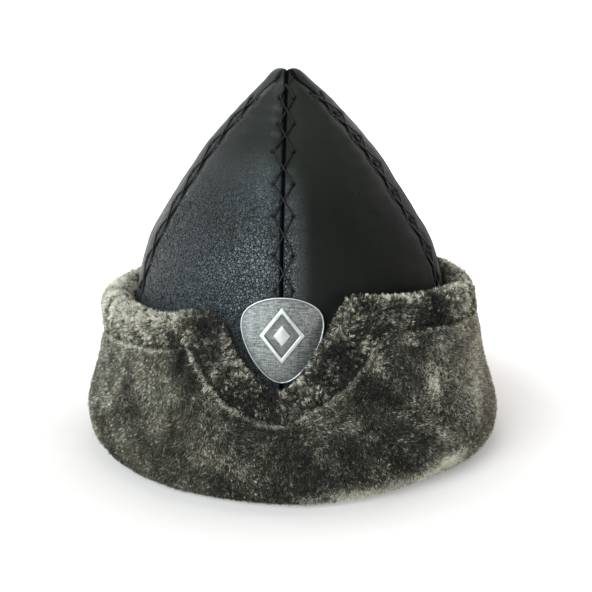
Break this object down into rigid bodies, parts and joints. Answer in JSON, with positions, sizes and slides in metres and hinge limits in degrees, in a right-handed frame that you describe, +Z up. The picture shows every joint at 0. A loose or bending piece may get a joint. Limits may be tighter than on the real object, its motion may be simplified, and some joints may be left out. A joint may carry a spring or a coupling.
{
  "type": "bork hat",
  "caption": "Pointed leather bork hat: laced gores rise to a blunt tip from a turned-up fur cuff with a notch in front and a metal shield badge.",
  "frame": {"origin": "centre of the hat's footprint, on the surface that its cuff rests on", "axes": "+Z up through the tip, -Y out of the notch and the badge, +X across the hat"},
  "size_m": [0.248, 0.251, 0.2167],
  "materials": {
    "leather_front_left": "satin pebbled",
    "leather_front_right": "satin pebbled",
    "leather_back_left": "satin pebbled",
    "leather_back_right": "satin pebbled",
    "fur_grey": "sheared fur",
    "pewter": "brushed, darkened in its lows"
  },
  "bodies": {
    "root": {"panel_front_left": "leather_front_left", "panel_front_right": "leather_front_right", "panel_back_left": "leather_back_left", "panel_back_right": "leather_back_right", "fur_cuff": "fur_grey", "badge": "pewter"}
  },
  "joints": []
}
